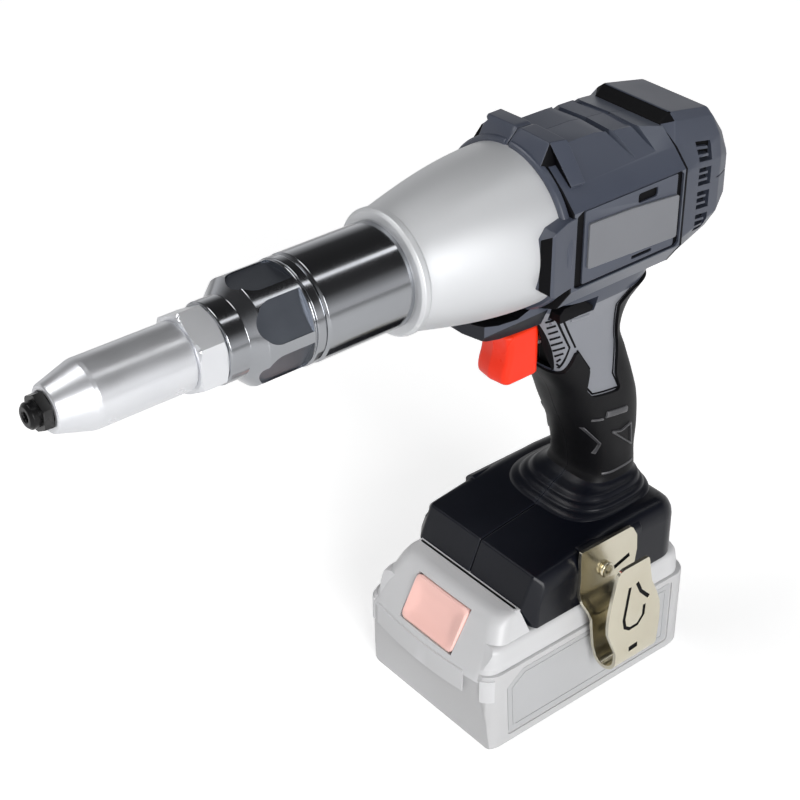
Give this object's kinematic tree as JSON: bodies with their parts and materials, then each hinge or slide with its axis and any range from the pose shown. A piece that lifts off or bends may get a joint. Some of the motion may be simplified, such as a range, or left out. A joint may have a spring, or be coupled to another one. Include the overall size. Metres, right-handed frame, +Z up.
{
  "type": "battery rivet tool",
  "caption": "Pistol-shaped cordless rivet tool: chromed nose, black barrel and metal gear housing on a moulded grip with trigger, belt hook and slide-on battery.",
  "frame": {"origin": "on the floor under the battery's centre, on the tool's middle plane", "axes": "+X to the rear of the tool, so the nose points to -X; +Y to the tool's right side; +Z up"},
  "size_m": [0.295, 0.0922, 0.2551],
  "materials": {
    "chrome": "bright chrome plate",
    "black_steel": "black oxide steel",
    "black_anodised": "glossy black anodised aluminium",
    "cast_silver": "satin blasted aluminium",
    "housing_plastic": "fine grained dark blue-grey plastic",
    "grip_rubber": "soft matte black rubber",
    "badge_plastic": "smooth grey plastic",
    "screw_steel": "zinc plated steel",
    "gear_steel": "ground gear steel",
    "bearing_steel": "polished bearing steel",
    "spring_steel": "drawn spring wire",
    "bronze": "turned bronze",
    "plate_alloy": "machined aluminium",
    "lamination": "stacked electrical steel",
    "copper": "enamelled copper wire",
    "black_plastic": "black plastic",
    "trigger_plastic": "orange-red plastic",
    "lens": "clear lens",
    "board": "potted circuit board",
    "hook_nickel": "champagne nickel plated steel",
    "pack_plastic": "pale grey plastic",
    "button_plastic": "salmon plastic",
    "cell_can": "sleeved cell can"
  },
  "bodies": {
    "tool": {"nose_sleeve": "chrome", "lock_nut": "chrome", "nosepiece": "black_steel", "coupling": "black_anodised", "barrel": "black_anodised", "gear_case": "cast_silver", "housing_left": "housing_plastic", "housing_right": "housing_plastic", "rear_cover": "housing_plastic", "grip_left": "grip_rubber", "grip_right": "grip_rubber", "badge_plates": "badge_plastic", "housing_screws": "screw_steel", "cover_screws": "screw_steel", "hook_screw": "screw_steel", "ring_gear": "gear_steel", "motor_bearings": "bearing_steel", "nut_bearing": "bearing_steel", "thrust_bearing": "bearing_steel", "trigger_spring": "spring_steel", "guide_bush": "bronze", "hook_inserts": "bronze", "motor_plate": "plate_alloy", "stator": "lamination", "stator_windings": "copper", "switch_body": "black_plastic", "terminal_block": "black_plastic", "work_light": "lens", "control_tray": "board", "belt_hook": "hook_nickel"},
    "rotor": {"motor_shaft": "gear_steel", "rotor_core": "lamination", "cooling_fan": "black_plastic"},
    "carrier_1_body": {"carrier_1": "gear_steel"},
    "carrier_2_body": {"carrier_2": "gear_steel", "ball_nut": "gear_steel"},
    "planet_1a_body": {"planet_1a": "gear_steel"},
    "planet_1b_body": {"planet_1b": "gear_steel"},
    "planet_1c_body": {"planet_1c": "gear_steel"},
    "planet_2a_body": {"planet_2a": "gear_steel"},
    "planet_2b_body": {"planet_2b": "gear_steel"},
    "planet_2c_body": {"planet_2c": "gear_steel"},
    "pull": {"ball_screw": "gear_steel", "draw_rod": "gear_steel", "jaw_case": "gear_steel", "jaw_spring": "spring_steel"},
    "jaw_1_body": {"jaw_1": "gear_steel"},
    "jaw_2_body": {"jaw_2": "gear_steel"},
    "jaw_3_body": {"jaw_3": "gear_steel"},
    "pusher": {"jaw_pusher": "bronze"},
    "trigger_body": {"trigger": "trigger_plastic"},
    "selector_body": {"selector": "black_plastic"},
    "battery": {"battery_lower": "pack_plastic", "battery_upper": "pack_plastic", "battery_cells": "cell_can", "battery_board": "board", "battery_screws": "screw_steel", "button_spring": "spring_steel"},
    "button_body": {"battery_button": "button_plastic"}
  },
  "joints": [
    {"name": "rotor_spin", "type": "hinge", "parent": "tool", "child": "rotor", "pos_m": [0, 0, 0.218], "axis": [1, 0, 0], "range_deg": [0, 45000]},
    {"name": "carrier_1_spin", "type": "hinge", "parent": "tool", "child": "carrier_1_body", "pos_m": [0, 0, 0.218], "axis": [1, 0, 0], "continuous": true},
    {"name": "carrier_2_spin", "type": "hinge", "parent": "tool", "child": "carrier_2_body", "pos_m": [0, 0, 0.218], "axis": [1, 0, 0], "continuous": true},
    {"name": "planet_1a_spin", "type": "hinge", "parent": "carrier_1_body", "child": "planet_1a_body", "pos_m": [0, 0.012, 0.218], "axis": [1, 0, 0], "continuous": true},
    {"name": "planet_1b_spin", "type": "hinge", "parent": "carrier_1_body", "child": "planet_1b_body", "pos_m": [0, -0.006, 0.22839], "axis": [1, 0, 0], "continuous": true},
    {"name": "planet_1c_spin", "type": "hinge", "parent": "carrier_1_body", "child": "planet_1c_body", "pos_m": [0, -0.006, 0.20761], "axis": [1, 0, 0], "continuous": true},
    {"name": "planet_2a_spin", "type": "hinge", "parent": "carrier_2_body", "child": "planet_2a_body", "pos_m": [0, 0.012, 0.218], "axis": [1, 0, 0], "continuous": true},
    {"name": "planet_2b_spin", "type": "hinge", "parent": "carrier_2_body", "child": "planet_2b_body", "pos_m": [0, -0.006, 0.22839], "axis": [1, 0, 0], "continuous": true},
    {"name": "planet_2c_spin", "type": "hinge", "parent": "carrier_2_body", "child": "planet_2c_body", "pos_m": [0, -0.006, 0.20761], "axis": [1, 0, 0], "continuous": true},
    {"name": "pull_stroke", "type": "slide", "parent": "tool", "child": "pull", "axis": [1, 0, 0], "range_m": [0, 0.025]},
    {"name": "jaw_1_grip", "type": "slide", "parent": "pull", "child": "jaw_1_body", "axis": [-0.9781, 0, -0.2079], "range_m": [0, 0.0015]},
    {"name": "jaw_2_grip", "type": "slide", "parent": "pull", "child": "jaw_2_body", "axis": [-0.9781, 0.1801, 0.104], "range_m": [0, 0.0015]},
    {"name": "jaw_3_grip", "type": "slide", "parent": "pull", "child": "jaw_3_body", "axis": [-0.9781, -0.1801, 0.104], "range_m": [0, 0.0015]},
    {"name": "pusher_follow", "type": "slide", "parent": "pull", "child": "pusher", "axis": [-1, 0, 0], "range_m": [0, 0.0015], "deforming": ["jaw_spring"]},
    {"name": "trigger_pull", "type": "slide", "parent": "tool", "child": "trigger_body", "axis": [1, 0, 0], "range_m": [0, 0.006], "stiffness_N_per_m": 500, "springref_m": -0.002, "deforming": ["trigger_spring"]},
    {"name": "selector_shift", "type": "slide", "parent": "tool", "child": "selector_body", "axis": [0, 1, 0], "range_m": [-0.00297, 0.00297]},
    {"name": "battery_slide", "type": "slide", "parent": "tool", "child": "battery", "axis": [-1, 0, 0], "range_m": [0, 0.11]},
    {"name": "button_press", "type": "slide", "parent": "battery", "child": "button_body", "axis": [0.8844, 0, -0.4668], "range_m": [0, 0.00288], "stiffness_N_per_m": 800, "springref_m": -0.001, "deforming": ["button_spring"]}
  ],
  "couplings": [
    {"joint": "carrier_1_spin", "follows": "rotor_spin", "ratio": 0.2},
    {"joint": "carrier_2_spin", "follows": "rotor_spin", "ratio": 0.04},
    {"joint": "planet_1a_spin", "follows": "rotor_spin", "ratio": -0.53333},
    {"joint": "planet_1b_spin", "follows": "rotor_spin", "ratio": -0.53333},
    {"joint": "planet_1c_spin", "follows": "rotor_spin", "ratio": -0.53333},
    {"joint": "planet_2a_spin", "follows": "rotor_spin", "ratio": -0.10667},
    {"joint": "planet_2b_spin", "follows": "rotor_spin", "ratio": -0.10667},
    {"joint": "planet_2c_spin", "follows": "rotor_spin", "ratio": -0.10667},
    {"joint": "pull_stroke", "follows": "rotor_spin", "m_per_rad": 0.000031831},
    {"joint": "jaw_2_grip", "follows": "jaw_1_grip", "ratio": 1},
    {"joint": "jaw_3_grip", "follows": "jaw_1_grip", "ratio": 1},
    {"joint": "pusher_follow", "follows": "jaw_1_grip", "ratio": 0.97815}
  ]
}
